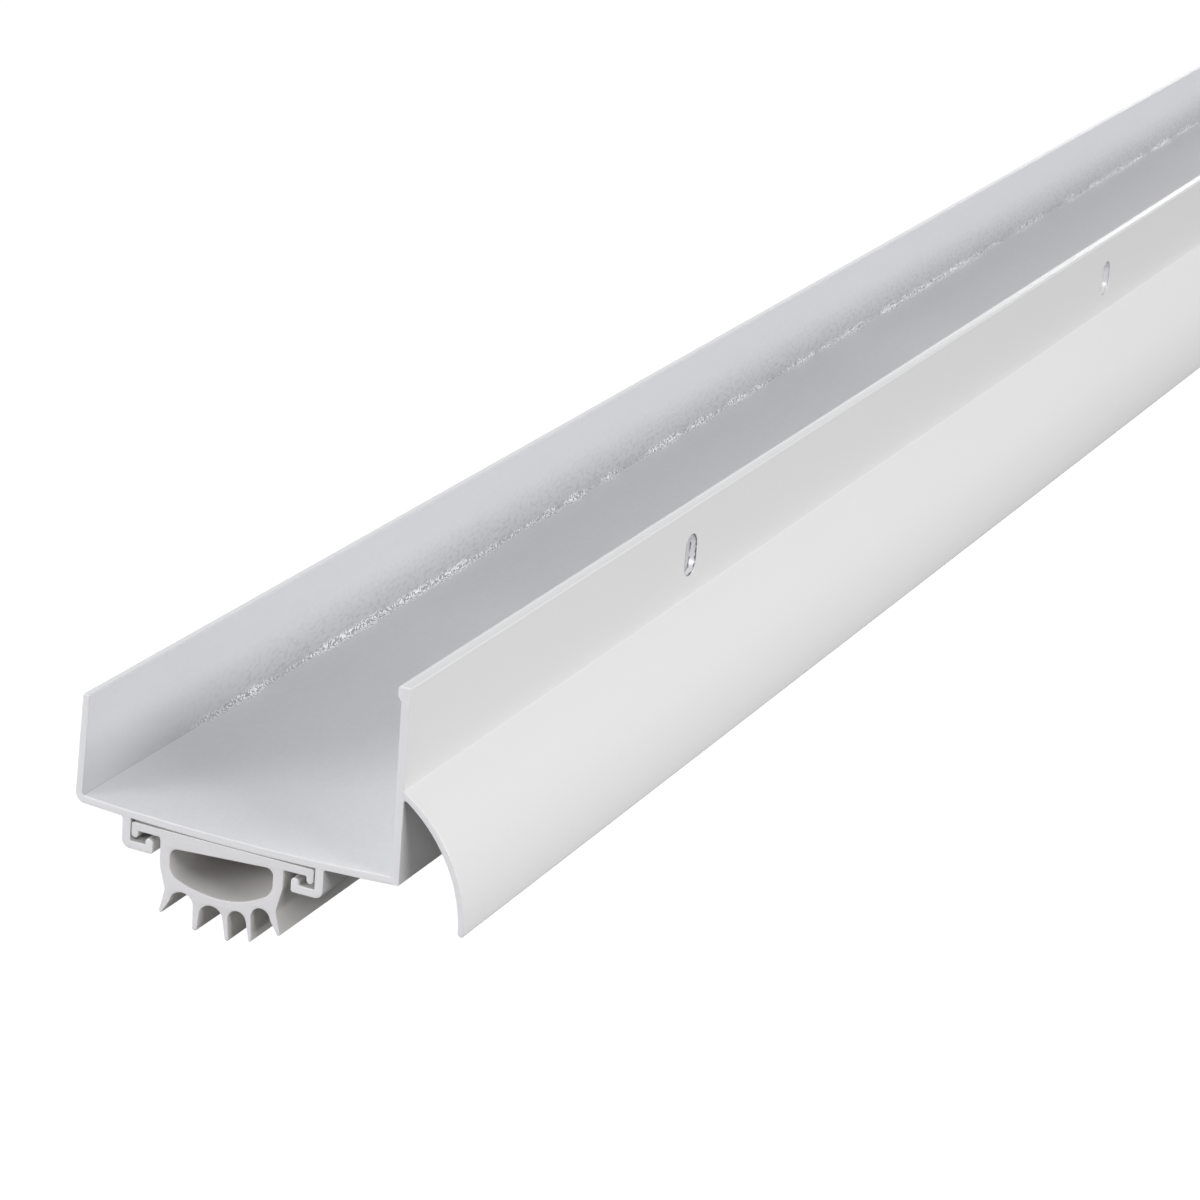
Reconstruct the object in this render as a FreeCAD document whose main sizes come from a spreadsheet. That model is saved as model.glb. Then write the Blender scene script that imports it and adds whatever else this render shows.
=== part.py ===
import FreeCAD, Part
import math
import os

import Sketcher

# Door bottom seal: a U-shaped channel that wraps the foot of a door, with a drip cap
# and two seal tracks on the same extrusion, and a soft finned insert pushed into the tracks.
# X runs across the door, Y along it and Z up. The origin lies on the line where the
# channel's floor meets the door's bottom edge, midway between the flanges and the ends.

# Driving dimensions in millimetres
SIZES = [
    ("seal_length", 914.4, "overall length, for a door 36 inches wide"),
    ("door_gap", 46.0, "clear width between the flanges at the floor, for a 1-3/4 inch door"),
    ("web_wall", 1.1, "wall of the floor"),
    ("web_bow", 0.75, "how far the middle of the floor hangs below its two ends"),
    ("short_height", 14.25, "short flange, above the floor's ends"),
    ("short_wall", 1.0, "wall of the short flange"),
    ("short_lean", 0.7, "how far the short flange's top leans towards the door"),
    ("outer_round", 1.4, "rounding under the short flange"),
    ("tall_height", 26.05, "tall flange, above the floor's ends"),
    ("tall_wall", 1.2, "wall of the tall flange"),
    ("bead_depth", 0.5, "bead that stands in from the top of the tall flange"),
    ("bead_height", 1.5, "flat front of that bead"),
    ("bead_run", 0.6, "slope from the bead down to the flange"),
    ("edge_round", 0.35, "rounding of the channel's small edges"),
    ("root_round", 0.4, "rounding of the corners where flanges, cap and tracks meet the U"),
    ("cap_root", 12.05, "level where the drip cap's outer face leaves the tall flange"),
    ("cap_reach", 9.6, "reach of the drip cap beyond the tall flange"),
    ("cap_drop", 5.35, "level of the drip cap's edge below the floor's ends"),
    ("cap_wall", 0.9, "wall of the drip cap"),
    ("slot_count", 5, "number of screw slots"),
    ("slot_inset", 87.0, "first and last slot, from the ends"),
    ("slot_level", 18.5, "middle of the slots above the floor's ends"),
    ("slot_width", 4.0, "width of a slot along the door"),
    ("slot_height", 6.2, "height of a slot, so that the seal can be set up or down"),
    ("track_shift", 1.7, "middle of the tracks from the middle of the channel, away from the cap"),
    ("track_width", 27.6, "clear width between the tracks' outer walls"),
    ("track_wall", 1.25, "wall of the tracks"),
    ("track_depth", 2.8, "clear depth from the middle of the floor's underside to the lips"),
    ("track_round", 1.2, "rounding of the tracks' outer corners"),
    ("lip_wall", 1.15, "wall of the lips that carry the insert"),
    ("lip_reach", 3.45, "reach of the lips in from the tracks' outer walls"),
    ("lip_width", 1.15, "width of the turned-up edge of the lips"),
    ("lip_rise", 0.95, "height of that turned-up edge above the lips"),
    ("seal_gap", 0.15, "clearance between the insert and the floor above it"),
    ("side_gap", 0.2, "clearance between the insert and the tracks' outer walls"),
    ("lip_gap", 0.6, "clearance between the insert and the lips under it"),
    ("barb_width", 1.0, "width of the insert's turned-down edges"),
    ("plate_round", 0.35, "rounding of the corners of the insert's plate and barbs"),
    ("bulb_gap", 1.15, "clearance between the bulb and the lips beside it"),
    ("bulb_roof", 1.75, "wall of the bulb under the floor"),
    ("bulb_wall", 1.5, "wall of the bulb's sides"),
    ("bulb_floor", 1.3, "wall of the bulb above the fins"),
    ("bulb_depth", 8.85, "depth from the insert's top to the bulb's round underside"),
    ("bulb_round", 15.7, "radius of the bulb's round underside"),
    ("bulb_straight", 4.4, "depth from the insert's top to the bulb's shoulders"),
    ("shoulder_round", 6.0, "rounding of the bulb's shoulders, where its sides turn in"),
    ("neck_drop", 1.2, "necks above the outermost fins, below the bulb's round underside"),
    ("neck_round", 1.5, "rounding of those necks"),
    ("hollow_round", 1.1, "rounding of the hollow's upper corners"),
    ("hollow_foot", 2.2, "rounding of the hollow's lower corners"),
    ("fin_count", 5, "number of fins, always odd"),
    ("fin_inset", 0.9, "outermost fins in from the bulb's sides"),
    ("fin_length", 4.35, "length of the fins below the bulb's round underside"),
    ("fin_wall", 0.82, "wall of a fin at its root"),
    ("fin_tip", 0.55, "wall of a fin at its tip"),
    ("fin_splay", 0.9, "how far the outermost fins lean outward"),
    ("gullet_round", 1.35, "rise of the round between two fins"),
]

# A point halfway round a square corner, as a share of its radius
HALF_ROOT = math.sqrt(0.5)
# A point on the way along a longer round, as a share of its reach
ON_THE_WAY = 0.7
# How near an edge passes to the place that it is looked for at
CLOSE = 0.01


class Size:
    """A length worked out from the sheet: its formula for the document and its value now."""

    def __init__(self, formula, value):
        self.formula = formula
        self.value = value

    def __add__(self, other):
        other = size(other)
        return Size(f"({self.formula} + {other.formula})", self.value + other.value)

    def __radd__(self, other):
        return size(other) + self

    def __sub__(self, other):
        other = size(other)
        return Size(f"({self.formula} - {other.formula})", self.value - other.value)

    def __rsub__(self, other):
        return size(other) - self

    def __mul__(self, other):
        other = size(other)
        return Size(f"({self.formula} * {other.formula})", self.value * other.value)

    def __rmul__(self, other):
        return size(other) * self

    def __truediv__(self, other):
        other = size(other)
        return Size(f"({self.formula} / {other.formula})", self.value / other.value)

    def __neg__(self):
        return 0 - self


def size(number):
    """A Size as it is, or a plain number made into one."""
    if isinstance(number, Size):
        return number
    return Size(f"{number:.9g}", float(number))


def root(amount):
    """The square root of a Size."""
    return Size(f"sqrt({amount.formula})", math.sqrt(amount.value))


def square(amount):
    """A Size times itself."""
    return amount * amount


def spot(point):
    """The two formulas of a point on a round side; a straight side has none."""
    return point and (size(point[0]), size(point[1]))


class Outline:
    """A closed outline of lines and arcs, with each corner given by formulas on the sheet."""

    def __init__(self, x, y, radius=None):
        self.corners = [(size(x), size(y), radius)]
        self.vias = []

    def line(self, x, y, radius=None):
        """A straight side to a corner, which may be rounded between two straight sides."""
        self.corners.append((size(x), size(y), radius))
        self.vias.append(None)

    def arc(self, via, x, y):
        """A round side to a corner, through a point on the way."""
        self.corners.append((size(x), size(y), None))
        self.vias.append(spot(via))

    def mirror(self, middle, via=None):
        """The sides so far once more beyond an upright line, joined to them across it."""
        corners = list(reversed(self.corners))
        vias = list(reversed(self.vias))
        self.vias.append(spot(via))
        for x, y, radius in corners:
            self.corners.append((2 * middle - x, y, radius))
        for side in vias:
            self.vias.append(side and (2 * middle - side[0], side[1]))

    def close(self, via=None):
        """The last side, back to the first corner."""
        self.vias.append(spot(via))
        return self


def vector(corner):
    """The place of a corner now."""
    return FreeCAD.Vector(corner[0].value, corner[1].value, 0)


def tie(sketch, kind, length, *ends):
    """A dimension in a sketch that follows a formula on the sheet."""
    number = sketch.addConstraint(Sketcher.Constraint(kind, *ends, length.value))
    sketch.setExpression(f"Constraints[{number}]", length.formula)


def hold(sketch, part, point, corner):
    """Ties one point of a sketch to its two formulas, measured from the sketch's origin."""
    tie(sketch, "DistanceX", corner[0], -1, 1, part, point)
    tie(sketch, "DistanceY", corner[1], -1, 1, part, point)


def add_arc(sketch, a, middle, b):
    """An arc through three points: its number in the sketch and its ends, first and last."""
    # A sketch keeps its arcs anticlockwise, so a clockwise one is drawn from its far end
    if (middle - a).cross(b - middle).z > 0:
        return sketch.addGeometry(Part.Arc(a, middle, b), False), 1, 2
    return sketch.addGeometry(Part.Arc(b, middle, a), False), 2, 1


def rounding(before, corner, after):
    """Where the rounding of a corner between two straight sides starts, bulges and ends now."""
    place = vector(corner)
    back = (vector(before) - place).normalize()
    ahead = (vector(after) - place).normalize()
    half_sine = (back - ahead).Length / 2
    reach = corner[2].value * math.sqrt(1 - half_sine**2) / half_sine
    bulge = (back + ahead) * (reach / 2 / (1 + half_sine))
    return place + back * reach, place + bulge, place + ahead * reach


def draw_outline(sketch, outline):
    """All sides of an outline, joined end to end, with every corner tied to its formulas."""
    corners = outline.corners
    count = len(corners)
    rounds = {}
    for number, corner in enumerate(corners):
        if corner[2] is not None:
            rounds[number] = rounding(corners[number - 1], corner, corners[(number + 1) % count])
    sides = []
    for number, via in enumerate(outline.vias):
        after = (number + 1) % count
        a = rounds[number][2] if number in rounds else vector(corners[number])
        b = rounds[after][0] if after in rounds else vector(corners[after])
        if via is None:
            sides.append((sketch.addGeometry(Part.LineSegment(a, b), False), 1, 2))
            continue
        sides.append(add_arc(sketch, a, vector(via), b))
        mark = sketch.addGeometry(Part.Point(vector(via)), True)
        hold(sketch, mark, 1, via)
        sketch.addConstraint(Sketcher.Constraint("PointOnObject", mark, 1, sides[-1][0]))
    for number, corner in enumerate(corners):
        before, _, last = sides[number - 1]
        after, first, _ = sides[number]
        if number not in rounds:
            sketch.addConstraint(Sketcher.Constraint("Coincident", before, last, after, first))
            hold(sketch, after, first, corner)
            continue
        arc, start, end = add_arc(sketch, *rounds[number])
        mark = sketch.addGeometry(Part.Point(vector(corner)), True)
        hold(sketch, mark, 1, corner)
        sketch.addConstraint(Sketcher.Constraint("PointOnObject", mark, 1, before))
        sketch.addConstraint(Sketcher.Constraint("PointOnObject", mark, 1, after))
        sketch.addConstraint(Sketcher.Constraint("Tangent", before, last, arc, start))
        sketch.addConstraint(Sketcher.Constraint("Tangent", arc, end, after, first))
        tie(sketch, "Radius", corner[2], arc)


def origin_part(body, role):
    """One of the planes or axes that a body carries."""
    return next(part for part in body.Origin.OriginFeatures if part.Role == role)


def draw_sketch(body, name, plane, outlines):
    """A sketch of one or more outlines on a plane of the body."""
    sketch = body.newObject("Sketcher::SketchObject", name)
    sketch.AttachmentSupport = [(origin_part(body, plane), "")]
    sketch.MapMode = "FlatFace"
    for outline in outlines:
        draw_outline(sketch, outline)
    return sketch


def extrude(body, name, outlines):
    """A section run along the whole length, half each way from the middle."""
    sketch = draw_sketch(body, f"{name}_section", "XZ_Plane", outlines)
    pad = body.newObject("PartDesign::Pad", name)
    pad.Profile = sketch
    pad.SideType = "Symmetric"
    pad.setExpression("Length", "sizes.seal_length")
    body.Document.recompute()
    return pad


def make_sheet(doc):
    """The sheet of driving dimensions: a name, a number and a note on each row."""
    sheet = doc.addObject("Spreadsheet::Sheet", "sizes")
    for row, (name, number, note) in enumerate(SIZES, start=1):
        sheet.set(f"A{row}", name)
        sheet.set(f"B{row}", f"{number}")
        sheet.set(f"C{row}", note)
        sheet.setAlias(f"B{row}", name)
    doc.recompute()
    return {name: Size(f"sizes.{name}", float(sheet.get(name))) for name, _, _ in SIZES}


def web_level(s, x, depth):
    """The height of the bowed floor at one place across it, at a depth below its top."""
    half = s["door_gap"] / 2
    radius = (square(half) + square(s["web_bow"])) / (2 * s["web_bow"])
    centre = radius - s["web_bow"]
    return centre - root(square(radius + depth) - square(size(x)))


def lip_level(s):
    """The height of the lips' upper faces."""
    return -s["web_bow"] - s["web_wall"] - s["track_depth"]


def cap_level(s, x, depth):
    """The height of the drip cap at one place across it, at a depth below its round face."""
    tip = s["door_gap"] / 2 + s["tall_wall"] + s["cap_reach"]
    rise = s["cap_root"] + s["cap_drop"]
    radius = (square(s["cap_reach"]) + square(rise)) / (2 * s["cap_reach"])
    return -s["cap_drop"] + root(square(radius - depth) - square(x - tip + radius))


def channel_outline(s):
    """The U: short flange, bowed floor, and tall flange with a bead inside its top."""
    inner = s["door_gap"] / 2
    short_out = -inner - s["short_wall"]
    tall_out = inner + s["tall_wall"]
    top = s["tall_height"]
    bead = inner - s["bead_depth"]
    bead_foot = top - s["bead_height"]
    corner = s["outer_round"]
    base = web_level(s, short_out + corner, s["web_wall"])
    turn = (short_out + corner * (1 - HALF_ROOT), base + corner * (1 - HALF_ROOT))
    outline = Outline(-inner, 0)
    outline.line(-inner + s["short_lean"], s["short_height"])
    outline.line(short_out + s["short_lean"], s["short_height"])
    outline.line(short_out, base + corner)
    outline.arc(turn, short_out + corner, base)
    outline.arc((0, web_level(s, 0, s["web_wall"])),
                tall_out, web_level(s, tall_out, s["web_wall"]))
    outline.line(tall_out, top, s["edge_round"])
    outline.line(bead, top, s["edge_round"])
    outline.line(bead, bead_foot)
    outline.line(inner, bead_foot - s["bead_run"])
    outline.line(inner, 0)
    return outline.close((0, -s["web_bow"]))


def cap_outline(s):
    """The drip cap: a round wall that leaves the tall flange and ends hanging straight down."""
    face = s["door_gap"] / 2 + s["tall_wall"]
    inside = face - s["tall_wall"] / 2
    tip = face + s["cap_reach"]
    wall = s["cap_wall"]
    level = -s["cap_drop"]
    middle = face + ON_THE_WAY * s["cap_reach"]
    outline = Outline(inside, cap_level(s, inside, 0))
    outline.arc((middle, cap_level(s, middle, 0)), tip, level)
    outline.arc((tip - wall / 2, level - wall / 2), tip - wall, level)
    outline.arc((middle - wall, cap_level(s, middle - wall, wall)),
                inside, cap_level(s, inside, wall))
    return outline.close()


def track_outline(s, side):
    """One track: a wall down from the floor, a lip turned in under it and up at its edge."""
    middle = -s["track_shift"]
    wall = s["track_width"] / 2
    outer = wall + s["track_wall"]
    lip_end = wall - s["lip_reach"]
    nose = s["lip_width"] / 2
    lip_top = lip_level(s)
    lip_base = lip_top - s["lip_wall"]
    nose_level = lip_top + s["lip_rise"] - nose

    def across(reach):
        return middle + side * reach

    def in_web(reach):
        return across(reach), web_level(s, across(reach), s["web_wall"] / 2)

    outline = Outline(*in_web(outer))
    outline.line(across(outer), lip_base, s["track_round"])
    outline.line(across(lip_end), lip_base, s["edge_round"])
    outline.line(across(lip_end), nose_level)
    outline.arc((across(lip_end + nose), nose_level + nose),
                across(lip_end + 2 * nose), nose_level)
    outline.line(across(lip_end + 2 * nose), lip_top)
    outline.line(across(wall), lip_top)
    outline.line(*in_web(wall))
    return outline.close()


def edge_at(shape, x, z):
    """The name of the long edge that passes one place of the section."""
    place = FreeCAD.Vector(size(x).value, 0, size(z).value)
    gaps = [place.distanceToPoint(edge.BoundBox.Center) for edge in shape.Edges]
    nearest = min(gaps)
    if nearest > CLOSE:
        raise RuntimeError(f"no edge passes {place}")
    return f"Edge{gaps.index(nearest) + 1}"


def round_roots(body, pad, s):
    """Rounds the inside corners where the flanges, the drip cap and the tracks begin."""
    inner = s["door_gap"] / 2
    face = inner + s["tall_wall"]
    track = s["track_width"] / 2 + s["track_wall"]
    roots = [(-inner, 0), (inner, 0), (face, s["cap_root"]),
             (face, cap_level(s, face, s["cap_wall"]))]
    for x in (-s["track_shift"] - track, -s["track_shift"] + track):
        roots.append((x, web_level(s, x, s["web_wall"])))
    rounds = body.newObject("PartDesign::Fillet", "root_rounds")
    rounds.Base = (pad, [edge_at(pad.Shape, x, z) for x, z in roots])
    rounds.setExpression("Radius", "sizes.root_round")
    body.Document.recompute()


def cut_slots(body, s):
    """The row of upright screw slots through the tall flange."""
    first = s["slot_inset"] - s["seal_length"] / 2
    half = s["slot_width"] / 2
    low = s["slot_level"] - s["slot_height"] / 2
    high = s["slot_level"] + s["slot_height"] / 2
    slot = Outline(first - half, low + half)
    slot.line(first - half, high - half)
    slot.arc((first, high), first + half, high - half)
    slot.line(first + half, low + half)
    sketch = draw_sketch(body, "slot_outline", "YZ_Plane", [slot.close((first, low))])
    whole = body.Shape.Volume
    cut = body.newObject("PartDesign::Pocket", "screw_slot")
    cut.Profile = sketch
    cut.Type = "ThroughAll"
    # The slot is cut from the middle of the channel towards the tall flange only
    cut.Reversed = True
    body.Document.recompute()
    check_cut(body, whole)
    row = body.newObject("PartDesign::LinearPattern", "screw_slots")
    row.Originals = [cut]
    row.Direction = (origin_part(body, "Y_Axis"), [""])
    row.setExpression("Length", "sizes.seal_length - 2 * sizes.slot_inset")
    row.setExpression("Occurrences", "sizes.slot_count")
    body.Tip = row
    one = body.Shape.Volume
    body.Document.recompute()
    check_cut(body, one)


def check_cut(body, before):
    """Stops the build if a cut has taken nothing away."""
    if body.Shape.Volume >= before:
        raise RuntimeError(f"{body.Label}: a cut took nothing away")


def make_channel(doc, s):
    """The extruded channel: the U, the drip cap, two seal tracks and the screw slots."""
    body = doc.addObject("PartDesign::Body", "door_channel")
    body.Label = "door_channel"
    extrude(body, "flanges_and_floor", [channel_outline(s)])
    extrude(body, "drip_cap", [cap_outline(s)])
    extrude(body, "cap_side_track", [track_outline(s, 1)])
    whole = extrude(body, "short_side_track", [track_outline(s, -1)])
    round_roots(body, whole, s)
    cut_slots(body, s)
    return body


def insert_places(s):
    """Heights and half widths of the insert, taken from the tracks that hold it."""
    lips = lip_level(s)
    top = -s["web_bow"] - s["web_wall"] - s["seal_gap"]
    return {
        "top": top,
        "plate_base": lips + s["lip_rise"] + s["lip_gap"],
        "barb_foot": lips + s["lip_gap"],
        "plate_end": s["track_width"] / 2 - s["side_gap"],
        "bulb": s["track_width"] / 2 - s["lip_reach"] - s["bulb_gap"],
        "round_centre": top - s["bulb_depth"] + s["bulb_round"],
    }


def insert_outline(s):
    """The insert: plate, barb, bulb side and fins of one half, and the same mirrored."""
    at = insert_places(s)
    middle = -s["track_shift"]
    half_count = int(s["fin_count"].value) // 2
    barb = s["barb_width"] / 2
    tip = s["fin_tip"] / 2
    fin = s["fin_wall"] / 2
    outermost = at["bulb"] - s["fin_inset"]
    pitch = (outermost - fin) / half_count

    def under(reach):
        return at["round_centre"] - root(square(s["bulb_round"]) - square(size(reach)))

    barb_end = middle + at["plate_end"]
    barb_side = barb_end - 2 * barb
    barb_level = at["barb_foot"] + barb
    outline = Outline(barb_end, at["top"], s["plate_round"])
    outline.line(barb_end, barb_level)
    outline.arc((barb_end - barb, at["barb_foot"]), barb_side, barb_level)
    outline.line(barb_side, at["plate_base"], s["plate_round"])
    outline.line(middle + at["bulb"], at["plate_base"], s["plate_round"])
    outline.line(middle + at["bulb"], at["top"] - s["bulb_straight"], s["shoulder_round"])
    outline.line(middle + outermost, under(outermost) - s["neck_drop"], s["neck_round"])
    for number in range(half_count, 0, -1):
        lean = s["fin_splay"] * (number / half_count) ** 2
        end = middle + number * pitch + lean
        foot = under(number * pitch) - s["fin_length"]
        gullet = (number - 0.5) * pitch
        spring = under(gullet) - s["gullet_round"]
        outline.line(end + tip, foot + tip)
        outline.arc((end, foot), end - tip, foot + tip)
        outline.line(middle + number * pitch - fin, spring)
        outline.arc((middle + gullet, under(gullet)), middle + (number - 1) * pitch + fin, spring)
    foot = under(0) - s["fin_length"]
    outline.line(middle + tip, foot + tip)
    outline.mirror(middle, (middle, foot))
    return outline.close()


def hollow_outline(s):
    """The hollow of the bulb: a flat roof, straight sides and a round floor."""
    at = insert_places(s)
    middle = -s["track_shift"]
    side = at["bulb"] - s["bulb_wall"]
    foot = s["hollow_foot"]
    floor = s["bulb_round"] - s["bulb_floor"]
    corner = side - foot
    fall = root(square(floor - foot) - square(corner))
    level = at["round_centre"] - fall
    share = floor / (floor - foot)
    outline = Outline(middle + side, at["top"] - s["bulb_roof"], s["hollow_round"])
    outline.line(middle + side, level)
    outline.arc((middle + corner + HALF_ROOT * foot, level - HALF_ROOT * foot),
                middle + corner * share, at["round_centre"] - fall * share)
    outline.mirror(middle, (middle, at["round_centre"] - floor))
    return outline.close()


def make_insert(doc, s):
    """The soft insert: barbed plate, hollow bulb and fins in one section."""
    body = doc.addObject("PartDesign::Body", "seal_insert")
    body.Label = "seal_insert"
    extrude(body, "barbs_bulb_and_fins", [insert_outline(s), hollow_outline(s)])
    return body


def check_document(doc, bodies):
    """Stops the build if any object has failed or any piece isn't one sound solid."""
    for item in doc.Objects:
        if "Invalid" in item.State or "Error" in item.State:
            raise RuntimeError(f"{item.Name}: {item.State}")
    for body in bodies:
        shape = body.Shape
        if shape.isNull() or not shape.isValid() or len(shape.Solids) != 1:
            raise RuntimeError(f"{body.Label}: not one sound solid")


def main():
    """Builds the document and writes one file for each piece."""
    doc = FreeCAD.newDocument("door_bottom_seal")
    sizes = make_sheet(doc)
    bodies = [make_channel(doc, sizes), make_insert(doc, sizes)]
    doc.recompute()
    check_document(doc, bodies)
    os.makedirs("parts", exist_ok=True)
    for body in bodies:
        body.Shape.exportStep(f"parts/{body.Label}.step")
        box = body.Shape.BoundBox
        print(f"{body.Label}: {body.Shape.Volume:.0f} mm3, X {box.XMin:.2f} to {box.XMax:.2f}, "
              f"Z {box.ZMin:.2f} to {box.ZMax:.2f}")


main()
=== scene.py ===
import math

import bmesh
import bpy
from bpy.props import (
    FloatProperty,
    FloatVectorProperty,
    IntProperty,
    PointerProperty,
)
from mathutils import Matrix, Vector
from mathutils.geometry import tessellate_polygon


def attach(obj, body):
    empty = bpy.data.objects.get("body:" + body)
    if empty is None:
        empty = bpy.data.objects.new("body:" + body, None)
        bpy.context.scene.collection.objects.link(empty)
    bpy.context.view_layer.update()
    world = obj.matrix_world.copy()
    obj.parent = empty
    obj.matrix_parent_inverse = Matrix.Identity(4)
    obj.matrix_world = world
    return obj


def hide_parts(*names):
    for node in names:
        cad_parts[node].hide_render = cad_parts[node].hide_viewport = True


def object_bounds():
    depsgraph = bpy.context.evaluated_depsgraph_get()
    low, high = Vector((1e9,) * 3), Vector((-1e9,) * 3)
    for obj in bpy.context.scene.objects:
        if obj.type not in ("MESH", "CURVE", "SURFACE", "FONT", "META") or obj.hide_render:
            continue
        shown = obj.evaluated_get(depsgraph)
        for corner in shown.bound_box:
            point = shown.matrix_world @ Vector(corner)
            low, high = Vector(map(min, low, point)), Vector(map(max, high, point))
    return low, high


bl_info = {
    "name": "Door bottom seal",
    "version": (1, 0, 0),
    "blender": (4, 5, 0),
    "location": "3D View > Sidebar > Door seal",
    "description": "A painted door channel with a drip cap, and the soft finned seal in its tracks",
    "category": "Object",
}

# The row frame: X across the door towards the weather side, Y along the door, Z up,
# with the origin where the door's bottom edge seats. Lengths are in metres.
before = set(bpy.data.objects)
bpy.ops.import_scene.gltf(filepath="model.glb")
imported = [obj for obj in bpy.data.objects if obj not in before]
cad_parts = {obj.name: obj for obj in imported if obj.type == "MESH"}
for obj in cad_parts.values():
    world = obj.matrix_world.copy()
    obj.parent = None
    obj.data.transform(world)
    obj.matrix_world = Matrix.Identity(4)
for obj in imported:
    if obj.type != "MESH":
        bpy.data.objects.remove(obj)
CAD_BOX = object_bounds()
CAD_LENGTH = CAD_BOX[1].y - CAD_BOX[0].y
MM = 0.001


def length(name, millimetres, description):
    """A size that a user may change, given in millimetres and kept in metres."""
    return FloatProperty(
        name=name,
        description=description,
        default=millimetres * MM,
        min=0.0,
        precision=5,
        subtype="DISTANCE",
        unit="LENGTH",
    )


def share(name, default, description):
    """A number from 0 to 1 that a user may change."""
    return FloatProperty(
        name=name, description=description, default=default, min=0.0, max=1.0, subtype="FACTOR"
    )


def angle(name, degrees, description):
    """An angle that a user may change, given in degrees."""
    return FloatProperty(
        name=name,
        description=description,
        default=math.radians(degrees),
        subtype="ANGLE",
        unit="ROTATION",
    )


def power(name, watts, description):
    """The strength of a lamp."""
    return FloatProperty(
        name=name, description=description, default=watts, min=0, subtype="POWER", unit="POWER"
    )


def colour(name, default, description):
    """A colour that a user may change."""
    return FloatVectorProperty(
        name=name, description=description, default=default, size=3, min=0, max=1, subtype="COLOR"
    )


class ChannelSizes(bpy.types.PropertyGroup):
    """Sizes of the extruded channel, with its drip cap, tracks and slots."""

    seal_length: FloatProperty(
        name="Length",
        description="Overall length of the seal, taken from the frame",
        default=CAD_LENGTH,
        min=0.1,
        subtype="DISTANCE",
        unit="LENGTH",
    )
    door_gap: length("Door gap", 46.0, "Clear width between the flanges at the floor")
    web_wall: length("Floor wall", 1.1, "Wall of the floor")
    web_bow: length("Floor bow", 0.75, "How far the floor's middle hangs below its ends")
    short_height: length("Short flange", 14.25, "Height of the short flange")
    short_wall: length("Short flange wall", 1.0, "Wall of the short flange")
    short_lean: length("Short flange lean", 0.7, "Lean of its top towards the door")
    outer_round: length("Outer round", 1.4, "Rounding under the short flange")
    tall_height: length("Tall flange", 26.05, "Height of the tall flange")
    tall_wall: length("Tall flange wall", 1.2, "Wall of the tall flange")
    bead_depth: length("Bead depth", 0.5, "How far the bead stands in from the tall flange")
    bead_height: length("Bead height", 1.5, "Flat front of the bead")
    bead_run: length("Bead run", 0.6, "Slope from the bead down to the flange")
    edge_round: length("Edge round", 0.35, "Rounding of small edges")
    root_round: length("Root round", 0.4, "Rounding of inside corners")
    sawn_round: length("Sawn edge round", 0.12, "Paint rounding over the sawn ends' edges")
    cap_root: length("Cap root", 12.05, "Level where the drip cap leaves the tall flange")
    cap_reach: length("Cap reach", 9.6, "Reach of the drip cap beyond the tall flange")
    cap_drop: length("Cap drop", 5.35, "Level of the drip cap's edge below the seat")
    cap_wall: length("Cap wall", 0.9, "Wall of the drip cap")
    track_shift: length("Track shift", 1.7, "Tracks' middle from the channel's middle")
    track_width: length("Track width", 27.6, "Clear width between the tracks' outer walls")
    track_wall: length("Track wall", 1.25, "Wall of the tracks")
    track_depth: length("Track depth", 2.8, "Clear depth from the floor to the lips")
    track_round: length("Track round", 1.2, "Rounding of the tracks' outer corners")
    lip_wall: length("Lip wall", 1.15, "Wall of the lips")
    lip_reach: length("Lip reach", 3.45, "Reach of the lips in from the tracks' walls")
    lip_width: length("Lip width", 1.15, "Width of the lips' turned-up edge")
    lip_rise: length("Lip rise", 0.95, "Height of the lips' turned-up edge")
    slot_count: IntProperty(
        name="Slots", description="Number of screw slots", default=5, min=2, max=20
    )
    slot_inset: length("Slot inset", 87.0, "First and last slot, from the ends")
    slot_level: length("Slot level", 18.5, "Middle of the slots above the seat")
    slot_width: length("Slot width", 4.0, "Width of a slot along the door")
    slot_height: length("Slot height", 6.2, "Height of a slot")
    slot_round: length("Slot round", 0.22, "Rounding of the slots' rims by the paint")


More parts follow.
